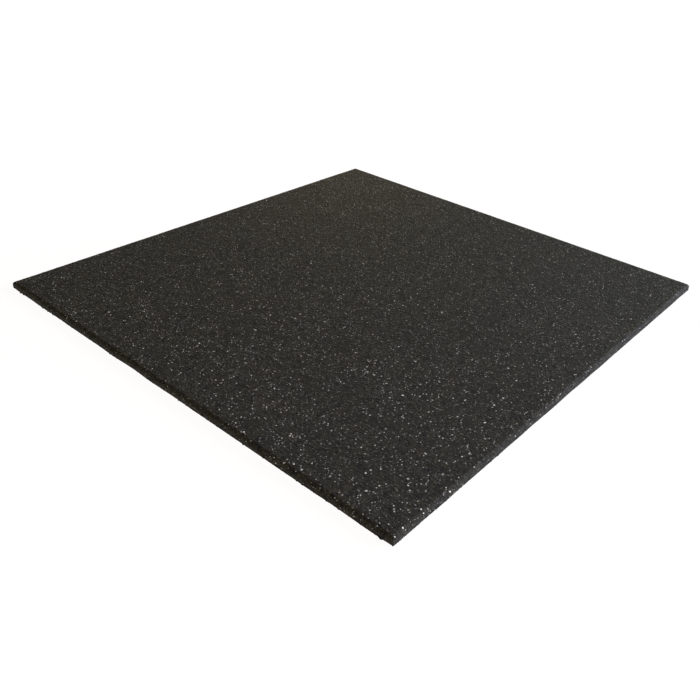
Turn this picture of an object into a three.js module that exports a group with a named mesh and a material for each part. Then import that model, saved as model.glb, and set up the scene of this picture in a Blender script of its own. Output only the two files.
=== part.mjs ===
// Square gym floor tile pressed from bonded rubber granules, lying flat.
// Millimetres, +Z up. The origin is the middle of the underside.
import * as THREE from 'three';

// Overall size of the tile
const TILE_LENGTH = 1000;
const TILE_WIDTH = 1000;
const TILE_THICKNESS = 15;

// The mould rounds the upper edge all round, and leaves the upright corners almost sharp
const EDGE_RADIUS = 7;
const CORNER_RADIUS = 1.5;

// A quarter circle is drawn with twice this many flats
const EDGE_DETAIL = 4;
const CORNER_DETAIL = 2;

const rubber = new THREE.MeshStandardMaterial({
  color: 0x2f2e2c,
  roughness: 0.85,
  metalness: 0,
});

// Plan outline of the tile, anticlockwise from above, drawn in from the sides by inset
function planOutline(inset) {
  const x = TILE_LENGTH / 2 - inset - CORNER_RADIUS;
  const y = TILE_WIDTH / 2 - inset - CORNER_RADIUS;
  const quarter = Math.PI / 2;
  const plan = new THREE.Shape();
  plan.absarc(x, y, CORNER_RADIUS, 0, quarter);
  plan.absarc(-x, y, CORNER_RADIUS, quarter, 2 * quarter);
  plan.absarc(-x, -y, CORNER_RADIUS, 2 * quarter, 3 * quarter);
  plan.absarc(x, -y, CORNER_RADIUS, 3 * quarter, 4 * quarter);
  plan.closePath();
  const points = plan.getPoints(CORNER_DETAIL);
  points.pop();
  return points;
}

// Section through a side: x is the inset from the side, y the height above the underside
function sideSection() {
  const section = new THREE.Path();
  section.moveTo(0, 0);
  section.lineTo(0, TILE_THICKNESS - EDGE_RADIUS);
  section.absarc(EDGE_RADIUS, TILE_THICKNESS - EDGE_RADIUS, EDGE_RADIUS, Math.PI, Math.PI / 2, true);
  return section.getPoints(EDGE_DETAIL);
}

// One closed skin: a ring of the plan outline at each point of the section, and two flat faces
function tileGeometry() {
  const rings = sideSection().map(({ x: inset, y: height }) =>
    planOutline(inset).map((point) => new THREE.Vector3(point.x, point.y, height)));
  const count = rings[0].length;
  const faces = [];
  for (let ring = 0; ring + 1 < rings.length; ring += 1) {
    for (let i = 0; i < count; i += 1) {
      const next = (i + 1) % count;
      const low = ring * count;
      const high = low + count;
      faces.push(low + i, low + next, high + next);
      faces.push(low + i, high + next, high + i);
    }
  }
  const top = (rings.length - 1) * count;
  for (const [a, b, c] of THREE.ShapeUtils.triangulateShape(planOutline(EDGE_RADIUS), [])) {
    faces.push(top + a, top + b, top + c);
    faces.push(c, b, a);
  }
  const geometry = new THREE.BufferGeometry().setFromPoints(rings.flat());
  geometry.setIndex(faces);
  geometry.computeVertexNormals();
  return geometry;
}

const rubberTile = new THREE.Mesh(tileGeometry(), rubber);
rubberTile.name = 'rubber_tile';

const floorTile = new THREE.Group();
floorTile.add(rubberTile);

export default floorTile;
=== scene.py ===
"""A square gym floor tile, pressed from bonded rubber granules, on a pale studio floor.

Metres, +Z up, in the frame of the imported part: the origin is the middle of the underside, the
photo's near corner is at -X, -Y, its left corner at -X, +Y and its right corner at +X, -Y.
"""

import logging
import math
from collections.abc import Callable, Mapping
from dataclasses import dataclass
from enum import Enum
from functools import partial

import bpy
import numpy as np
from mathutils import Matrix, Vector, noise
from mathutils.bvhtree import BVHTree


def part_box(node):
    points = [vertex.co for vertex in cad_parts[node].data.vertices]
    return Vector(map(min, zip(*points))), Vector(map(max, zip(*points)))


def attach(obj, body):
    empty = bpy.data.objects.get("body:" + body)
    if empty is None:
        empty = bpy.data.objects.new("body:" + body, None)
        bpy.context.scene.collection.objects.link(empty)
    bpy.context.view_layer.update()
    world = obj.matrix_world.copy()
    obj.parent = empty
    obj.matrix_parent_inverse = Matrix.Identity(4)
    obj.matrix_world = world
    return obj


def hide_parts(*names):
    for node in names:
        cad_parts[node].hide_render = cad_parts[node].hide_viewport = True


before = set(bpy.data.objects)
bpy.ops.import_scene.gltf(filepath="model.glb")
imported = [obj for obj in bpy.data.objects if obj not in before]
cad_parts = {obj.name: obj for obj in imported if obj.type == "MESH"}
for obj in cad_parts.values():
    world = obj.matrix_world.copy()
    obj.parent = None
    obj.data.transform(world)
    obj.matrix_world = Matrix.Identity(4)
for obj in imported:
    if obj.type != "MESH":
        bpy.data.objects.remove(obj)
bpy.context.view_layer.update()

MM = 0.001
TILE_NODE = "rubber_tile"

log = logging.getLogger("floor_tile")


def linear(code: str) -> tuple[float, float, float, float]:
    """Turn an sRGB hex colour into the linear one that shaders take.

    Args:
        code: The colour, such as "#2f2e2c".

    Returns:
        Linear red, green and blue, and an alpha of one.
    """
    channels = [int(code[i : i + 2], 16) / 255 for i in (1, 3, 5)]
    red, green, blue = (c / 12.92 if c <= 0.04045 else ((c + 0.055) / 1.055) ** 2.4 for c in channels)
    return red, green, blue, 1.0


def add_node(
    tree: bpy.types.NodeTree,
    kind: str,
    settings: Mapping[str, object] | None = None,
    values: Mapping[str | int, object] | None = None,
    links: Mapping[str | int, bpy.types.NodeSocket] | None = None,
) -> bpy.types.Node:
    """Add a node with its settings, its fixed inputs and its links.

    Args:
        tree: The node tree that gets the node.
        kind: The node's type name.
        settings: Properties of the node itself.
        values: Fixed values of its inputs, by name or number.
        links: Outputs of other nodes that feed its inputs, by name or number.

    Returns:
        The new node.
    """
    node = tree.nodes.new(kind)
    for name, value in (settings or {}).items():
        setattr(node, name, value)
    for socket, value in (values or {}).items():
        node.inputs[socket].default_value = value
    for socket, source in (links or {}).items():
        tree.links.new(source, node.inputs[socket])
    return node


def new_material(name: str) -> bpy.types.Material:
    """Make an empty node material.

    Args:
        name: The material's name.

    Returns:
        The material, with no node in its tree.
    """
    material = bpy.data.materials.new(name)
    material.use_nodes = True
    material.node_tree.nodes.clear()
    return material


def new_object(
    name: str,
    corners: np.ndarray,
    faces: np.ndarray | list[tuple[int, ...]],
    material: bpy.types.Material,
    smooth: bool,
) -> bpy.types.Object:
    """Make a mesh object in the scene.

    Args:
        name: The object's name.
        corners: Vertex positions in metres, one row each.
        faces: Vertex numbers of each face.
        material: The material of every face.
        smooth: Whether the shading runs smoothly over the faces.

    Returns:
        The new object, at the origin.
    """
    mesh = bpy.data.meshes.new(name)
    mesh.from_pydata([tuple(corner) for corner in corners.tolist()], [], [tuple(face) for face in faces])
    mesh.materials.append(material)
    mesh.polygons.foreach_set("use_smooth", [smooth] * len(mesh.polygons))
    mesh.update()
    piece = bpy.data.objects.new(name, mesh)
    bpy.context.scene.collection.objects.link(piece)
    return piece


class Side(Enum):
    """The tile's four upright sides, each with its outward direction in plan."""

    LEFT_FRONT = (-1, 0)
    RIGHT_FRONT = (0, -1)
    RIGHT_BACK = (1, 0)
    LEFT_BACK = (0, 1)


@dataclass(frozen=True)
class Patches:
    """Soft patches with no clear edge, as dust, wear and batches of crumb leave them.

    The levels of the noise between low and high are stretched over the two ends of the effect.
    """

    size_mm: float
    detail: float
    levels: tuple[float, float]
    effect: tuple[float, float]
    roughness: float = 0.65

    def texture(self, tree: bpy.types.NodeTree, place: bpy.types.NodeSocket) -> bpy.types.NodeSocket:
        """Lay the noise over the surface.

        Args:
            tree: The material's node tree.
            place: The coordinates of the pattern.

        Returns:
            The bare noise.
        """
        noise_node = add_node(
            tree,
            "ShaderNodeTexNoise",
            None,
            {"Scale": 1 / (self.size_mm * MM), "Detail": self.detail, "Roughness": self.roughness},
            {"Vector": place},
        )
        return noise_node.outputs[0]

    def spread(self, tree: bpy.types.NodeTree, texture: bpy.types.NodeSocket) -> bpy.types.NodeSocket:
        """Stretch the noise over the effect.

        Args:
            tree: The material's node tree.
            texture: The bare noise.

        Returns:
            The effect at each point.
        """
        ends = zip(("From Min", "From Max", "To Min", "To Max"), (*self.levels, *self.effect))
        stretched = add_node(tree, "ShaderNodeMapRange", None, dict(ends), {"Value": texture})
        return stretched.outputs[0]


@dataclass(frozen=True)
class PressedTyreCrumb:
    """Recycled tyre rubber crumb, bound with polyurethane and pressed in a flat mould.

    To the eye it is a matt charcoal, warm rather than blue. Each granule has a shade of its own,
    sooty and dusty ones lie in clumps, and where the mould closed the skin well it is calmer.
    The faces that touched the mould are flat, with fine pits where granules meet, whose near-black is
    painted shade.
    Granules that stand proud are scuffed, and the sides, which the mould pressed less, are coarser.

    Joints and facet edges are shares of a granule wide. A swing is a step from sooty to dusty.
    """

    sooty: str = "#0d0d0a"
    dusty: str = "#353327"
    scuffed: str = "#49473e"
    # The joints' near-black is painted shade in the crevices between granules.
    crevice_shade: str = "#070706"
    pale_fines: str = "#7d7b74"
    warm_batch: str = "#fffdf7"
    cool_batch: str = "#fafdff"
    granule_mm: float = 2.4
    fines_mm: float = 0.95
    lump_mm: float = 6.5
    clumps: Patches = Patches(12.0, 3.0, (0.25, 0.75), (-0.52, 0.52))
    calm: Patches = Patches(22.0, 1.0, (0.35, 0.65), (0.4, 1.7))
    batches: Patches = Patches(35.0, 1.0, (0.4, 0.6), (0.0, 1.0))
    clouds: Patches = Patches(70.0, 3.0, (0.3, 0.7), (0.92, 1.08))
    middle_shade: float = 0.56
    granule_swing: float = 0.6
    fines_swing: float = 0.2
    scuffed_share: float = 0.055
    pale_fines_share: float = 0.004
    side_coarseness: float = 2.1
    joint_width: float = 0.14
    facet_edge: float = 0.12
    granule_relief_mm: float = 0.22
    fines_relief_mm: float = 0.06
    facet_slope: float = 0.26
    lump_slope: float = 0.15
    ior: float = 1.52
    specular: float = 0.19
    roughness: tuple[float, float] = (0.74, 0.95)
    diffuse_roughness: float = 0.6

    def material(self) -> bpy.types.Material:
        """Build the crumb's node material.

        Returns:
            The material, patterned in the object's own coordinates.
        """
        material = new_material("pressed_tyre_crumb")
        tree = material.node_tree
        add = partial(add_node, tree)
        coordinates = add("ShaderNodeTexCoord")
        place = coordinates.outputs["Object"]
        facing = add("ShaderNodeSeparateXYZ", None, None, {"Vector": coordinates.outputs["Normal"]})
        coarseness = add(
            "ShaderNodeMapRange",
            None,
            {"To Min": self.side_coarseness, "To Max": 1.0},
            {"Value": facing.outputs["Z"]},
        )
        granules, joints, fines, lumps, lump_joints = (
            add("ShaderNodeTexVoronoi", {"feature": feature}, {"Scale": 1 / (size * MM)}, {"Vector": place})
            for size, feature in (
                (self.granule_mm, "F1"),
                (self.granule_mm, "DISTANCE_TO_EDGE"),
                (self.fines_mm, "F1"),
                (self.lump_mm, "F1"),
                (self.lump_mm, "DISTANCE_TO_EDGE"),
            )
        )
        own, fine_own = (
            add("ShaderNodeSeparateColor", None, None, {"Color": cells.outputs["Color"]})
            for cells in (granules, fines)
        )
        clumped, calmness, batch, lightness = (
            patches.spread(tree, patches.texture(tree, place))
            for patches in (self.clumps, self.calm, self.batches, self.clouds)
        )

        # The shade of each granule, from sooty to dusty.
        with_fines = add(
            "ShaderNodeMath",
            {"operation": "MULTIPLY_ADD"},
            {1: self.fines_swing},
            {0: fine_own.outputs["Red"], 2: clumped},
        )
        with_granules = add(
            "ShaderNodeMath",
            {"operation": "MULTIPLY_ADD"},
            {1: self.granule_swing},
            {0: own.outputs["Red"], 2: with_fines.outputs[0]},
        )
        swing = add(
            "ShaderNodeMath",
            {"operation": "SUBTRACT"},
            {1: (self.granule_swing + self.fines_swing) / 2},
            {0: with_granules.outputs[0]},
        )
        liveliness = add(
            "ShaderNodeMath", {"operation": "MULTIPLY"}, None, {0: calmness, 1: coarseness.outputs[0]}
        )
        shade = add(
            "ShaderNodeMath",
            {"operation": "MULTIPLY_ADD", "use_clamp": True},
            {2: self.middle_shade},
            {0: swing.outputs[0], 1: liveliness.outputs[0]},
        )
        body = add(
            "ShaderNodeMix",
            {"data_type": "RGBA"},
            {6: linear(self.sooty), 7: linear(self.dusty)},
            {0: shade.outputs[0]},
        )

        # Painted shade in the joints between granules, scuffed granules and stray pale fines.
        depth = add(
            "ShaderNodeMapRange",
            {"interpolation_type": "SMOOTHSTEP"},
            {"From Min": 0.0, "From Max": self.joint_width},
            {"Value": joints.outputs["Distance"]},
        )
        # The joints get a near-black painted shade, as if shade fell into the crevices.
        crevice_shaded = add(
            "ShaderNodeMix",
            {"data_type": "RGBA"},
            {6: linear(self.crevice_shade)},
            {0: depth.outputs[0], 7: body.outputs[2]},
        )
        proud = add(
            "ShaderNodeMath",
            {"operation": "GREATER_THAN"},
            {1: 1 - self.scuffed_share},
            {0: own.outputs["Blue"]},
        )
        scuffs = add(
            "ShaderNodeMath", {"operation": "MULTIPLY"}, None, {0: proud.outputs[0], 1: depth.outputs[0]}
        )
        scuffed = add(
            "ShaderNodeMix",
            {"data_type": "RGBA"},
            {7: linear(self.scuffed)},
            {0: scuffs.outputs[0], 6: crevice_shaded.outputs[2]},
        )
        pale = add(
            "ShaderNodeMath",
            {"operation": "GREATER_THAN"},
            {1: 1 - self.pale_fines_share},
            {0: fine_own.outputs["Green"]},
        )
        flecked = add(
            "ShaderNodeMix",
            {"data_type": "RGBA"},
            {7: linear(self.pale_fines)},
            {0: pale.outputs[0], 6: scuffed.outputs[2]},
        )

        # Lighter and darker clouds, and the tint of each batch.
        clouded = add(
            "ShaderNodeVectorMath",
            {"operation": "SCALE"},
            None,
            {0: flecked.outputs[2], "Scale": lightness},
        )
        tint = add(
            "ShaderNodeMix",
            {"data_type": "RGBA"},
            {6: linear(self.warm_batch), 7: linear(self.cool_batch)},
            {0: batch},
        )
        tinted = add(
            "ShaderNodeVectorMath",
            {"operation": "MULTIPLY"},
            None,
            {0: clouded.outputs[0], 1: tint.outputs[2]},
        )
        roughness = add(
            "ShaderNodeMapRange",
            None,
            {"To Min": self.roughness[0], "To Max": self.roughness[1]},
            {"Value": own.outputs["Green"]},
        )

        # The relief, in millimetres: domed granules, pits between the fines, and tilted tops.
        rise = add(
            "ShaderNodeMath",
            {"operation": "MULTIPLY_ADD"},
            None,
            {0: depth.outputs[0], 1: own.outputs["Blue"], 2: depth.outputs[0]},
        )
        domes = add(
            "ShaderNodeMath",
            {"operation": "MULTIPLY"},
            {1: self.granule_relief_mm / 2},
            {0: rise.outputs[0]},
        )
        pitting = add(
            "ShaderNodeMath",
            {"operation": "MULTIPLY_ADD"},
            {1: -self.fines_relief_mm},
            {0: fines.outputs["Distance"], 2: domes.outputs[0]},
        )
        tilts = add(
            "ShaderNodeMath",
            {"operation": "ADD"},
            None,
            {
                0: self.tilted_facets(tree, place, granules, joints, self.facet_slope),
                1: self.tilted_facets(tree, place, lumps, lump_joints, self.lump_slope),
            },
        )
        height = add(
            "ShaderNodeMath",
            {"operation": "MULTIPLY_ADD"},
            None,
            {0: tilts.outputs[0], 1: coarseness.outputs[0], 2: pitting.outputs[0]},
        )
        bump = add("ShaderNodeBump", None, {"Strength": 1.0, "Distance": MM}, {"Height": height.outputs[0]})
        shader = add(
            "ShaderNodeBsdfPrincipled",
            None,
            {
                "IOR": self.ior,
                "Specular IOR Level": self.specular,
                "Diffuse Roughness": self.diffuse_roughness,
            },
            {
                "Base Color": tinted.outputs[0],
                "Roughness": roughness.outputs[0],
                "Normal": bump.outputs[0],
            },
        )
        add("ShaderNodeOutputMaterial", None, None, {"Surface": shader.outputs[0]})
        return material

    def tilted_facets(
        self,
        tree: bpy.types.NodeTree,
        place: bpy.types.NodeSocket,
        cells: bpy.types.Node,
        joints: bpy.types.Node,
        slope: float,
    ) -> bpy.types.NodeSocket:
        """Tip the flat top of each cell its own way, and let it fall to nothing at the joints.

        Args:
            tree: The material's node tree.
            place: The coordinates of the pattern.
            cells: The cells, with a colour and a middle each.
            joints: How far the nearest joint between two of them is.
            slope: The steepest tilt, as rise over run.

        Returns:
            The height in millimetres.
        """
        add = partial(add_node, tree)
        offset = add(
            "ShaderNodeVectorMath",
            {"operation": "SUBTRACT"},
            None,
            {0: place, 1: cells.outputs["Position"]},
        )
        tilt = add(
            "ShaderNodeVectorMath",
            {"operation": "SUBTRACT"},
            {1: (0.5, 0.5, 0.5)},
            {0: cells.outputs["Color"]},
        )
        rise = add(
            "ShaderNodeVectorMath",
            {"operation": "DOT_PRODUCT"},
            None,
            {0: offset.outputs[0], 1: tilt.outputs[0]},
        )
        edge = add(
            "ShaderNodeMapRange",
            {"interpolation_type": "SMOOTHSTEP"},
            {"From Min": 0.0, "From Max": self.facet_edge, "To Min": 0.0, "To Max": 2 * slope / MM},
            {"Value": joints.outputs["Distance"]},
        )
        height = add(
            "ShaderNodeMath",
            {"operation": "MULTIPLY"},
            None,
            {0: rise.outputs["Value"], 1: edge.outputs[0]},
        )
        return height.outputs[0]


@dataclass(frozen=True)
class PaleEpdmGranule:
    """Light grey EPDM granules, cut small and pressed flat between the black ones.

    To the eye they are matt, slightly creamy chips. Black dust dulls most of them.
    """

    clean: str = "#dddbd2"
    dusted: str = "#53524d"
    smears: Patches = Patches(1.2, 3.0, (0.35, 0.65), (-0.14, 0.14))
    relief_mm: float = 0.05
    ior: float = 1.48
    specular: float = 0.3
    roughness: float = 0.8
    tone_name: str = "cleanness"

    def material(self) -> bpy.types.Material:
        """Build the pale granules' node material.

        Returns:
            The material, which reads how clean each granule is from its mesh.
        """
        material = new_material("pale_epdm_granule")
        tree = material.node_tree
        add = partial(add_node, tree)
        smears = self.smears.texture(tree, add("ShaderNodeTexCoord").outputs["Object"])
        cleanness = add("ShaderNodeAttribute", {"attribute_name": self.tone_name})
        tone = add(
            "ShaderNodeMath",
            {"operation": "ADD", "use_clamp": True},
            None,
            {0: cleanness.outputs["Fac"], 1: self.smears.spread(tree, smears)},
        )
        colour = add(
            "ShaderNodeMix",
            {"data_type": "RGBA"},
            {6: linear(self.dusted), 7: linear(self.clean)},
            {0: tone.outputs[0]},
        )
        bump = add(
            "ShaderNodeBump", None, {"Strength": 1.0, "Distance": self.relief_mm * MM}, {"Height": smears}
        )
        shader = add(
            "ShaderNodeBsdfPrincipled",
            None,
            {"IOR": self.ior, "Specular IOR Level": self.specular, "Roughness": self.roughness},
            {"Base Color": colour.outputs[2], "Normal": bump.outputs[0]},
        )
        add("ShaderNodeOutputMaterial", None, None, {"Surface": shader.outputs[0]})
        return material


@dataclass(frozen=True)
class DarkBinder:
    """Polyurethane binder, drawn up round each pale granule as the tile was pressed.

    To the eye it is a thin, soot black outline, a little smoother than the crumb.
    """

    colour: str = "#0a0a09"
    worn: str = "#141412"
    wear_mm: float = 1.5
    relief_mm: float = 0.1
    ior: float = 1.5
    specular: float = 0.2
    roughness: float = 0.7

    def material(self) -> bpy.types.Material:
        """Build the binder's node material.

        Returns:
            The material, patterned in the object's own coordinates.
        """
        material = new_material("dark_polyurethane_binder")
        add = partial(add_node, material.node_tree)
        place = add("ShaderNodeTexCoord").outputs["Object"]
        wear = add(
            "ShaderNodeTexNoise", None, {"Scale": 1 / (self.wear_mm * MM), "Detail": 2.0}, {"Vector": place}
        )
        colour = add(
            "ShaderNodeMix",
            {"data_type": "RGBA"},
            {6: linear(self.colour), 7: linear(self.worn)},
            {0: wear.outputs[0]},
        )
        bump = add(
            "ShaderNodeBump",
            None,
            {"Strength": 1.0, "Distance": self.relief_mm * MM},
            {"Height": wear.outputs[0]},
        )
        shader = add(
            "ShaderNodeBsdfPrincipled",
            None,
            {"IOR": self.ior, "Specular IOR Level": self.specular, "Roughness": self.roughness},
            {"Base Color": colour.outputs[2], "Normal": bump.outputs[0]},
        )
        add("ShaderNodeOutputMaterial", None, None, {"Surface": shader.outputs[0]})
        return material


@dataclass(frozen=True)
class LitOpalAcrylic:
    """Opal acrylic sheet over a light box, as product photographers use it.

    To the eye it is an even, matt white, and its own glow fills nearly all of a shadow.
    """

    colour: str = "#424242"
    glow_colour: str = "#fffefd"
    glow: float = 0.957
    roughness: float = 0.9
    specular: float = 0.1

    def material(self) -> bpy.types.Material:
        """Build the sheet's node material.

        Returns:
            A plain white material that glows a little.
        """
        material = new_material("lit_opal_acrylic")
        add = partial(add_node, material.node_tree)
        shader = add(
            "ShaderNodeBsdfPrincipled",
            None,
            {
                "Base Color": linear(self.colour),
                "Roughness": self.roughness,
                "Specular IOR Level": self.specular,
                "Emission Color": linear(self.glow_colour),
                "Emission Strength": self.glow,
            },
        )
        add("ShaderNodeOutputMaterial", None, None, {"Surface": shader.outputs[0]})
        return material


@dataclass
class PressedSlab:
    """The tile's body: one closed skin with the relief that pressed crumb has.

    The walking face is a fine grid. Below it, finer rings run round the rounded edge and down the
    upright sides, and the underside is plain. All lengths are in metres. The face's drops, in
    shares of the sway and of the relief, keep its highest granules at the true thickness.
    """

    low: Vector
    high: Vector
    edge_radius: float = 7 * MM
    corner_radius: float = 1.5 * MM
    face_cells: int = 240
    splits: int = 3
    edge_rows: int = 7
    side_rows: int = 4
    under_cells: int = 24
    granule: float = 3.0 * MM
    joint_steepness: float = 2.2
    lowest_granule: float = 0.9
    granule_play: float = 1.1
    own_height_scale: float = 7.3
    face_relief: float = 0.26 * MM
    face_relief_drop: float = 0.6
    face_sway: float = 0.25 * MM
    face_sway_drop: float = 0.5
    face_sway_length: float = 160 * MM
    face_sway_slice: float = 0.3
    side_relief: float = 0.55 * MM
    side_sway: float = 1.4 * MM
    side_sway_length: float = 60 * MM
    side_noise_step: float = 0.7
    true_side_share: float = 0.3
    ragged_height: float = 4.5 * MM
    ragged_granule: float = 4.2 * MM
    ragged_relief: float = 2.4 * MM
    ragged_patch: float = 45 * MM
    ragged_middle: float = 0.9
    ragged_swing: float = 1.2

    def __post_init__(self) -> None:
        """Work out what follows from the sizes."""
        self.half_length = (self.high.x - self.low.x) / 2
        self.half_width = (self.high.y - self.low.y) / 2
        self.thickness = self.high.z - self.low.z
        self.raggedness = {
            Side.LEFT_FRONT: 1.0,
            Side.RIGHT_FRONT: 0.35,
            Side.RIGHT_BACK: 0.5,
            Side.LEFT_BACK: 0.5,
        }

    def crumb(self, place: Vector, granule: float) -> float:
        """Give the relief of packed granules at a point.

        Args:
            place: The point.
            granule: The granules' size.

        Returns:
            From -1 in the joint between two granules to about 1 on a proud one.
        """
        distances, centres = noise.voronoi(place / granule)
        rise = min(1.0, self.joint_steepness * (distances[1] - distances[0]))
        own = noise.cell(centres[0] * self.own_height_scale)
        return rise * (self.lowest_granule + self.granule_play * own) - 1.0

    def plan_ring(self, cells: int, inset: float) -> np.ndarray:
        """Place points round the tile, anticlockwise from its -X, -Y corner.

        Args:
            cells: Steps along each side.
            inset: How far the ring lies inside the tile's sides.

        Returns:
            Four times that many points in plan, on straight sides and round corners.
        """
        steps = np.linspace(-1, 1, cells, endpoint=False)
        rest = np.ones(cells)
        square = np.concatenate(
            [
                np.stack([steps, -rest], 1),
                np.stack([rest, steps], 1),
                np.stack([-steps, rest], 1),
                np.stack([-rest, -steps], 1),
            ]
        )
        ring = square * [self.half_length - inset, self.half_width - inset]
        core = np.array([self.half_length, self.half_width]) - inset - self.corner_radius
        inner = np.clip(ring, -core, core)
        out = ring - inner
        out /= np.linalg.norm(out, axis=1, keepdims=True)
        return inner + self.corner_radius * out

    def plan_outward(self, ring: np.ndarray) -> np.ndarray:
        """Give the outward direction at points on a side or corner.

        Args:
            ring: Points in plan on the tile's outline or a ring inside it.

        Returns:
            One unit vector in plan for each point.
        """
        inset = min(self.half_length - ring[:, 0].max(), self.half_width - ring[:, 1].max())
        core = np.array([self.half_length, self.half_width]) - inset - self.corner_radius
        out = ring - np.clip(ring, -core, core)
        return out / np.linalg.norm(out, axis=1, keepdims=True)

    def section(self) -> list[tuple[float, float, float]]:
        """Give the rows from the walking face over the edge and down to the floor.

        Returns:
            For each row its inset, its height and how steeply it faces up, in radians.
        """
        rows = []
        for row in range(1, self.edge_rows + 1):
            turn = math.pi / 2 * (1 - row / self.edge_rows)
            inset = self.edge_radius * (1 - math.cos(turn))
            rows.append((inset, self.thickness - self.edge_radius * (1 - math.sin(turn)), turn))
        straight = self.thickness - self.edge_radius
        rows += [(0.0, straight * (1 - row / self.side_rows), 0.0) for row in range(1, self.side_rows + 1)]
        return rows

    def face_height(self, x: float, y: float) -> float:
        """Give the height of the walking face at a point in plan.

        Args:
            x: Distance along the tile's length from its middle.
            y: Distance along its width from its middle.

        Returns:
            The height above the floor.
        """
        sway = noise.noise(Vector((x, y, self.face_sway_slice)) / self.face_sway_length)
        crumb = self.crumb(Vector((x, y, self.thickness)), self.granule)
        swayed = self.thickness + self.face_sway * (sway - self.face_sway_drop)
        return swayed + self.face_relief * (crumb - self.face_relief_drop)

    def side_push(self, place: Vector, out: Vector) -> float:
        """Give how far a point of a side stands out from the true upright.

        Args:
            place: The point on the true side.
            out: The side's outward direction.

        Returns:
            The distance outward.
        """
        along = place + self.side_noise_step * out
        ragged = sum(
            share * max(0.0, out.x * side.value[0] + out.y * side.value[1])
            for side, share in self.raggedness.items()
        )
        swaying = self.true_side_share + (1 - self.true_side_share) * ragged
        push = self.side_sway * swaying * noise.noise(along / self.side_sway_length)
        push += self.side_relief / 2 * self.crumb(place, self.granule)
        near_floor = max(0.0, 1 - place.z / self.ragged_height)
        patch = self.ragged_middle + self.ragged_swing * noise.noise(along / self.ragged_patch)
        loose = max(0.0, self.crumb(place, self.ragged_granule))
        return push + self.ragged_relief * ragged * near_floor * max(0.0, patch) * loose

    def build(self, finish: PressedTyreCrumb) -> bpy.types.Object:
        """Make the slab's mesh and dress it.

        Args:
            finish: The crumb's finish.

        Returns:
            The slab, as one closed mesh.
        """
        cells, fine = self.face_cells, self.face_cells * self.splits
        corners, faces = self.face_grid(cells)
        rim = self.grid_rim(cells)
        rows = []
        for inset, height, turn in self.section():
            rows.append(np.arange(4 * fine) + len(corners))
            corners = np.concatenate([corners, self.side_row(fine, inset, height, turn)])
        faces += self.fan_down(rim, rows[0], self.splits)
        for upper, lower in zip(rows, rows[1:]):
            after_upper, after_lower = np.roll(upper, -1), np.roll(lower, -1)
            faces += list(zip(upper, lower, after_lower, after_upper))
        under, under_faces = self.under_grid(len(corners))
        under_rim = self.grid_rim(self.under_cells) + len(corners)
        corners = np.concatenate([corners, under])
        faces += under_faces
        faces += [face[::-1] for face in self.fan_down(under_rim, rows[-1], fine // self.under_cells)]
        slab = new_object("tile_body", corners, faces, finish.material(), smooth=True)
        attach(slab, "root")
        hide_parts(TILE_NODE)
        return slab

    def side_row(self, cells: int, inset: float, height: float, turn: float) -> np.ndarray:
        """Place one row of points round the edge or the sides, with its relief.

        Args:
            cells: Steps along each side.
            inset: The row's inset from the true sides.
            height: The row's height above the floor.
            turn: How steeply the row faces up, in radians.

        Returns:
            The row's points.
        """
        ring = self.plan_ring(cells, inset)
        points = []
        for (x, y), (out_x, out_y) in zip(ring.tolist(), self.plan_outward(ring).tolist()):
            out = Vector((out_x, out_y, 0.0))
            place = Vector((x, y, height))
            push = self.side_push(place, out) * math.cos(turn)
            drop = (self.face_height(x, y) - self.thickness) * math.sin(turn)
            points.append((x + push * out_x, y + push * out_y, height + drop))
        return np.array(points)

    def face_grid(self, cells: int) -> tuple[np.ndarray, list[tuple[int, ...]]]:
        """Make the walking face, from edge curve to edge curve.

        Args:
            cells: Cells along each side.

        Returns:
            Its points and its faces.
        """
        across = np.linspace(-1, 1, cells + 1)
        half_x = self.half_length - self.edge_radius
        half_y = self.half_width - self.edge_radius
        points = [
            (x * half_x, y * half_y, self.face_height(x * half_x, y * half_y))
            for y in across.tolist()
            for x in across.tolist()
        ]
        return np.array(points), self.grid_faces(cells)

    def under_grid(self, start: int) -> tuple[np.ndarray, list[tuple[int, ...]]]:
        """Make the plain underside, inside its outermost strip.

        Args:
            start: The number of the first of its points.

        Returns:
            Its points and its faces, which look down.
        """
        across = np.linspace(-1, 1, self.under_cells + 1)
        half_x = self.half_length - self.edge_radius
        half_y = self.half_width - self.edge_radius
        x, y = np.meshgrid(across * half_x, across * half_y)
        points = np.stack([x.ravel(), y.ravel(), np.zeros(x.size)], 1)
        upward = self.grid_faces(self.under_cells)
        return points, [tuple(number + start for number in face[::-1]) for face in upward]

    @staticmethod
    def grid_faces(cells: int) -> list[tuple[int, ...]]:
        """Give the faces of a square grid of points, looking up.

        Args:
            cells: Cells along each side.

        Returns:
            One face with four corners for each cell.
        """
        row = cells + 1
        return [
            (i + j * row, i + 1 + j * row, i + 1 + (j + 1) * row, i + (j + 1) * row)
            for j in range(cells)
            for i in range(cells)
        ]

    @staticmethod
    def grid_rim(cells: int) -> np.ndarray:
        """Give the outermost points of a square grid, anticlockwise from its first corner.

        Args:
            cells: Cells along each side.

        Returns:
            The points' numbers.
        """
        row = cells + 1
        steps = np.arange(cells)
        return np.concatenate(
            [steps, cells + steps * row, cells * row + cells - steps, cells * row - steps * row]
        )

    @staticmethod
    def fan_down(coarse: np.ndarray, fine: np.ndarray, splits: int) -> list[tuple[int, ...]]:
        """Join a coarse ring to a finer one outside it.

        Args:
            coarse: Point numbers of the coarse ring.
            fine: Point numbers of the fine ring, splits for each coarse one.
            splits: Fine steps to a coarse one.

        Returns:
            Triangles that look out of the coarse ring's side.
        """
        faces = []
        middle = splits // 2 + splits % 2
        for i, here in enumerate(coarse):
            ahead = coarse[(i + 1) % len(coarse)]
            steps = [fine[(i * splits + k) % len(fine)] for k in range(splits + 1)]
            faces += [(here, steps[k], steps[k + 1]) for k in range(middle)]
            faces.append((here, steps[middle], ahead))
            faces += [(ahead, steps[k], steps[k + 1]) for k in range(middle, splits)]
        return faces


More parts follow.
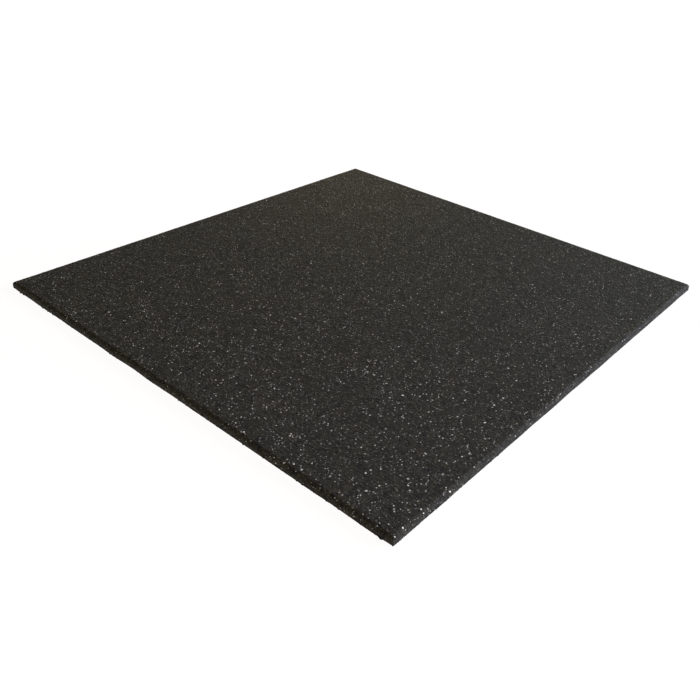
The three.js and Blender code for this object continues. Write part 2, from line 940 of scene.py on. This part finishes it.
@dataclass
class PaleGranules:
    """The pale granules that show in the tile's faces, as closed chips bedded in the slab.

    Each chip has a flat, angular top that lies in the surface and a point inside the slab.
    All lengths are in metres. The share that shows falls from the near corner to the far one,
    a chip's own tone leans to the dusty end, and clean and dusty chips lie in patches.
    """

    slab: PressedSlab
    per_square_metre: float = 8900.0
    middle_size: float = 1.8 * MM
    size_spread: float = 0.27
    size_range: tuple[float, float] = (0.7 * MM, 3.8 * MM)
    fewest_corners: int = 5
    most_corners: int = 7
    turn_play: float = 0.35
    shortest_reach: float = 0.78
    reach_play: float = 0.34
    longest_shape: float = 1.7
    shape_lean: float = 1.5
    near_share: float = 1.3
    far_share: float = 0.77
    share_fall: float = 2.6
    side_share: float = 0.56
    size_share: float = 0.35
    tone_lean: tuple[float, float] = (1.45, 2.8)
    cleanest: float = 0.75
    patch: float = 22 * MM
    patch_swing: float = 1.2
    rim_width: float = 0.45 * MM
    rim_proud: float = 0.02 * MM
    proud: float = 0.06 * MM
    crown: float = 0.05 * MM
    bedding: float = 0.9 * MM
    reach: float = 6 * MM
    seed: int = 11

    def scatter(self, random: np.random.Generator, width: float, height: float) -> list[tuple[float, ...]]:
        """Throw granules on a flat rectangle so that none overlap.

        Args:
            random: The source of chance.
            width: The rectangle's first size.
            height: Its second size.

        Returns:
            Each granule's two coordinates and its radius.
        """
        wanted = round(self.per_square_metre * width * height)
        cell = self.size_range[1]
        taken: dict[tuple[int, int], list[tuple[float, ...]]] = {}
        kept = []
        for _ in range(wanted):
            u, v = random.random() * width, random.random() * height
            size = self.middle_size * math.exp(self.size_spread * random.standard_normal())
            radius = float(np.clip(size, *self.size_range)) / 2
            home = (int(u // cell), int(v // cell))
            near = [
                other
                for i in (-1, 0, 1)
                for j in (-1, 0, 1)
                for other in taken.get((home[0] + i, home[1] + j), ())
            ]
            if any(math.hypot(u - a, v - b) < radius + c for a, b, c in near):
                continue
            taken.setdefault(home, []).append((u, v, radius))
            kept.append((u, v, radius))
        return kept

    def outline(self, random: np.random.Generator, radius: float) -> list[tuple[float, float]]:
        """Draw the angular outline of one granule's cut face.

        Args:
            random: The source of chance.
            radius: The granule's mean radius.

        Returns:
            Its corners about its middle, anticlockwise.
        """
        count = int(random.integers(self.fewest_corners, self.most_corners + 1))
        shape = math.sqrt(1 + (self.longest_shape - 1) * random.random() ** self.shape_lean)
        lie = random.random() * math.pi
        corners = []
        for i in range(count):
            turn = 2 * math.pi * (i + self.turn_play * (random.random() - 0.5)) / count
            reach = radius * (self.shortest_reach + self.reach_play * random.random())
            a, b = reach * math.cos(turn) * shape, reach * math.sin(turn) / shape
            corners.append((a * math.cos(lie) - b * math.sin(lie), a * math.sin(lie) + b * math.cos(lie)))
        return corners

    def chips(
        self,
        random: np.random.Generator,
        spots: list[tuple[float, ...]],
        surface: Callable[[float, float], tuple[Vector, Vector]],
        skin: BVHTree,
        chips: "GranuleShell",
        rims: "GranuleShell",
    ) -> None:
        """Bed chips in a surface, each in its rim of binder.

        Args:
            random: The source of chance.
            spots: The granules' flat coordinates and radii.
            surface: Turns flat coordinates into a point on the true surface and its normal.
            skin: The slab's real skin, with its relief.
            chips: Takes the chips' points and faces.
            rims: Takes the rims' points and faces.
        """
        for u, v, radius in spots:
            middle, normal = surface(u, v)
            share = self.share(middle)
            patch = share * (1 + self.patch_swing * noise.noise(middle / self.patch))
            tone = min(self.cleanest, patch * float(random.beta(*self.tone_lean)))
            outline = self.outline(random, radius * share**self.size_share)
            wider = 1 + self.rim_width / radius
            for shell, scale, proud, crown in (
                (chips, 1.0, self.proud, self.crown),
                (rims, wider, self.rim_proud, 0.0),
            ):
                rim = [
                    self.settle(*surface(u + scale * a, v + scale * b), skin, proud) for a, b in outline
                ]
                top = self.settle(middle, normal, skin, proud + crown)
                shell.add(rim, top, middle - normal * self.bedding * scale, tone)

    def share(self, place: Vector) -> float:
        """Give how much the granules near a point show.

        They show less towards the +X, +Y corner, and dust dulls those on the sides.

        Args:
            place: The point.

        Returns:
            The share of a granule's full cleanness.
        """
        along = min(1.0, (2 + place.x / self.slab.half_length + place.y / self.slab.half_width) / 4)
        down = min(1.0, (self.slab.thickness - place.z) / self.slab.edge_radius)
        top = self.far_share + (self.near_share - self.far_share) * (1 - along) ** self.share_fall
        return top * (1 + (self.side_share - 1) * down)

    def settle(self, place: Vector, normal: Vector, skin: BVHTree, proud: float) -> Vector:
        """Move a point along the normal to lie just above the slab's real skin.

        Args:
            place: The point on the true surface.
            normal: The surface's normal there.
            skin: The slab's real skin.
            proud: How far above the skin the point ends.

        Returns:
            The settled point.
        """
        hit = skin.ray_cast(place + normal * self.reach, -normal, 2 * self.reach)[0]
        return (hit or place) + normal * proud

    def walking_face(self, u: float, v: float) -> tuple[Vector, Vector]:
        """Turn flat coordinates into a point on the walking face.

        Args:
            u: Distance along the length from the face's corner.
            v: Distance along the width from the face's corner.

        Returns:
            The point and the upward normal.
        """
        slab = self.slab
        x = u - slab.half_length + slab.edge_radius
        y = v - slab.half_width + slab.edge_radius
        return Vector((x, y, slab.thickness)), Vector((0, 0, 1))

    def side_face(self, side: Side) -> Callable[[float, float], tuple[Vector, Vector]]:
        """Give the surface of one side with the rounded edge over it.

        Args:
            side: Which side.

        Returns:
            The function from distance along the side and height up the skin to a point and its normal.
        """
        slab = self.slab
        out = Vector((*side.value, 0.0))
        along = Vector((-side.value[1], side.value[0], 0.0))
        half_along = slab.half_width if side.value[0] else slab.half_length
        half_out = slab.half_length if side.value[0] else slab.half_width
        straight = slab.thickness - slab.edge_radius

        def surface(u: float, v: float) -> tuple[Vector, Vector]:
            """Turn flat coordinates into a point on the side and its normal.

            Args:
                u: Distance along the side.
                v: Distance up the skin from the floor.

            Returns:
                The point and the outward normal.
            """
            turn = min(max(0.0, (v - straight) / slab.edge_radius), math.pi / 2)
            inset = slab.edge_radius * (1 - math.cos(turn))
            height = max(0.0, min(v, straight)) + slab.edge_radius * math.sin(turn)
            s = min(max(u, slab.corner_radius), 2 * half_along - slab.corner_radius) - half_along
            place = along * s + out * (half_out - inset) + Vector((0, 0, height))
            return place, out * math.cos(turn) + Vector((0, 0, math.sin(turn)))

        return surface

    def build(
        self, body: bpy.types.Object, finish: PaleEpdmGranule, binder: DarkBinder
    ) -> tuple[bpy.types.Object, bpy.types.Object]:
        """Make the granules and their rims, and dress them.

        Args:
            body: The slab that holds them.
            finish: The granules' finish.
            binder: The rims' finish.

        Returns:
            All the granules as one piece, and all their rims as another.
        """
        slab = self.slab
        random = np.random.default_rng(self.seed)
        skin = BVHTree.FromObject(body, bpy.context.evaluated_depsgraph_get())
        chips, rims = GranuleShell(), GranuleShell()
        face = (2 * (slab.half_length - slab.edge_radius), 2 * (slab.half_width - slab.edge_radius))
        self.chips(random, self.scatter(random, *face), self.walking_face, skin, chips, rims)
        up_the_side = slab.thickness - slab.edge_radius + slab.edge_radius * math.pi / 2
        for side in Side:
            half_along = slab.half_width if side.value[0] else slab.half_length
            spots = self.scatter(random, 2 * half_along, up_the_side)
            low_enough = [spot for spot in spots if spot[2] < spot[1] < up_the_side - spot[2]]
            self.chips(random, low_enough, self.side_face(side), skin, chips, rims)
        pieces = (
            chips.piece("pale_granules", finish.material(), finish.tone_name),
            rims.piece("binder_rims", binder.material()),
        )
        for piece in pieces:
            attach(piece, "root")
        return pieces


class GranuleShell:
    """Collects the points, faces and tones of many chips, and makes one mesh of them."""

    def __init__(self) -> None:
        """Start with no chip."""
        self.corners: list[tuple[float, float, float]] = []
        self.faces: list[tuple[int, ...]] = []
        self.tones: list[float] = []

    def add(self, rim: list[Vector], crown: Vector, root: Vector, tone: float) -> None:
        """Add one closed chip.

        Args:
            rim: The corners of its cut face, anticlockwise from outside.
            crown: The middle of its cut face.
            root: Its point inside the slab.
            tone: How clean it is, from 0 to 1.
        """
        start, count = len(self.corners), len(rim)
        self.corners += [tuple(corner) for corner in (*rim, crown, root)]
        self.tones += [tone] * (count + 2)
        for i in range(count):
            here, ahead = start + i, start + (i + 1) % count
            self.faces.append((here, ahead, start + count))
            self.faces.append((ahead, here, start + count + 1))

    def piece(self, name: str, material: bpy.types.Material, tone_name: str = "") -> bpy.types.Object:
        """Make the mesh of all chips.

        Args:
            name: The piece's name.
            material: The material of every chip.
            tone_name: The name under which the material reads the tones, if it does.

        Returns:
            The piece.
        """
        piece = new_object(name, np.array(self.corners), self.faces, material, smooth=False)
        if tone_name:
            layer = piece.data.attributes.new(tone_name, "FLOAT", "POINT")
            layer.data.foreach_set("value", self.tones)
        return piece


@dataclass(frozen=True)
class SoftWindow:
    """A large, distant studio light with soft shadows, as a wide window gives."""

    name: str
    bearing: float
    height: float
    spread: float
    strength: float
    colour: str

    def build(self) -> bpy.types.Object:
        """Make the light. Its angles are in degrees, and its bearing runs anticlockwise from +X.

        Returns:
            The light's object.
        """
        light = bpy.data.lights.new(self.name, "SUN")
        light.angle = math.radians(self.spread)
        light.energy = self.strength
        light.color = linear(self.colour)[:3]
        holder = bpy.data.objects.new(self.name, light)
        around, above = math.radians(self.bearing), math.radians(self.height)
        source = Vector(
            (math.cos(around) * math.cos(above), math.sin(around) * math.cos(above), math.sin(above))
        )
        holder.rotation_euler = source.to_track_quat("Z", "Y").to_euler()
        bpy.context.scene.collection.objects.link(holder)
        return holder


@dataclass(frozen=True)
class SoftBox:
    """A round studio soft box that hangs over one corner of the tile and shines down."""

    name: str
    place: tuple[float, float, float]
    width: float
    watts: float
    colour: str

    def build(self) -> bpy.types.Object:
        """Make the light. It stays out of the picture itself.

        Returns:
            The light's object.
        """
        light = bpy.data.lights.new(self.name, "AREA")
        light.shape = "DISK"
        light.size = self.width
        light.energy = self.watts
        light.color = linear(self.colour)[:3]
        holder = bpy.data.objects.new(self.name, light)
        holder.location = self.place
        holder.visible_camera = False
        bpy.context.scene.collection.objects.link(holder)
        return holder


@dataclass
class Studio:
    """A plain pale floor, with soft light from wide windows and from two soft boxes."""

    floor_size: float = 200.0
    floor_drop: float = 0.05 * MM
    surround: str = "#ffffff"
    surround_strength: float = 1.0
    windows: tuple[SoftWindow, ...] = (
        SoftWindow("key_window", -45.0, 14.0, 30.0, 9.4, "#e8e9ff"),
        SoftWindow("rear_window", 0.0, 14.0, 30.0, 1.27, "#f0fff2"),
        SoftWindow("fill_window", 180.0, 45.0, 40.0, 1.34, "#ffebbf"),
    )
    boxes: tuple[SoftBox, ...] = (
        SoftBox("near_box", (-0.55, -0.55, 0.6), 0.5, 1.3, "#d8d8ff"),
        SoftBox("far_box", (0.6, 0.6, 0.5), 0.5, 2.45, "#ffebc0"),
    )

    def build(self) -> None:
        """Make the floor, the lights and a white surround that only the camera sees."""
        half = self.floor_size / 2
        corners = np.array([[-half, -half, 0], [half, -half, 0], [half, half, 0], [-half, half, 0]])
        corners[:, 2] = -self.floor_drop
        floor = new_object("pale_floor", corners, [(0, 1, 2, 3)], LitOpalAcrylic().material(), smooth=False)
        for light in (*self.windows, *self.boxes):
            light.build()
        world = bpy.data.worlds.new("even_surround")
        bpy.context.scene.world = world
        world.use_nodes = True
        world.node_tree.nodes.clear()
        world.cycles_visibility.diffuse = False
        world.cycles_visibility.glossy = False
        sky = add_node(
            world.node_tree,
            "ShaderNodeBackground",
            None,
            {"Color": linear(self.surround), "Strength": self.surround_strength},
        )
        add_node(world.node_tree, "ShaderNodeOutputWorld", None, None, {"Surface": sky.outputs[0]})
        bpy.context.scene.view_settings.view_transform = "Standard"


@dataclass(frozen=True)
class PhotoCamera:
    """The camera where the photo was taken, as a fit to the tile's outline gives it.

    It looks at the tile's middle from that azimuth and elevation, then slides sideways and up,
    and rolls. The lens axis meets the picture at principal_x, because the photo was cropped.
    """

    azimuth: float = math.radians(-52.161)
    elevation: float = math.radians(32.870)
    roll: float = math.radians(3.582)
    distance: float = 1.5606
    slide_right: float = 0.0875
    slide_up: float = -0.1229
    focal_pixels: float = 743.3
    principal_x: float = 404.9
    picture_pixels: float = 700.0
    sensor_mm: float = 36.0
    clip_start: float = 10 * MM

    def build(self) -> bpy.types.Object:
        """Make the camera and give it to the scene.

        Returns:
            The camera's object.
        """
        around, above = self.azimuth, self.elevation
        back = Vector(
            (
                math.sin(around) * math.cos(above),
                -math.cos(around) * math.cos(above),
                math.sin(above),
            )
        )
        right = Vector((math.cos(around), math.sin(around), 0.0))
        up = back.cross(right)
        place = back * self.distance + right * self.slide_right + up * self.slide_up
        axes = Matrix((right, up, back)).transposed() @ Matrix.Rotation(self.roll, 3, "Z")
        data = bpy.data.cameras.new("photo_camera")
        data.sensor_width = self.sensor_mm
        data.lens = self.sensor_mm * self.focal_pixels / self.picture_pixels
        data.shift_x = (self.picture_pixels / 2 - self.principal_x) / self.picture_pixels
        data.clip_start = self.clip_start
        camera = bpy.data.objects.new("photo_camera", data)
        camera.matrix_world = Matrix.Translation(place) @ axes.to_4x4()
        bpy.context.scene.collection.objects.link(camera)
        bpy.context.scene.camera = camera
        return camera


def main() -> None:
    """Build the camera, the tile and the studio, in that order."""
    logging.basicConfig(level=logging.INFO, format="%(message)s")
    PhotoCamera().build()
    slab = PressedSlab(*map(Vector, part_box(TILE_NODE)))
    body = slab.build(PressedTyreCrumb())
    log.info("%s: %d faces", body.name, len(body.data.polygons))
    for piece in PaleGranules(slab).build(body, PaleEpdmGranule(), DarkBinder()):
        log.info("%s: %d faces", piece.name, len(piece.data.polygons))
    Studio().build()


if __name__ == "__main__":
    main()
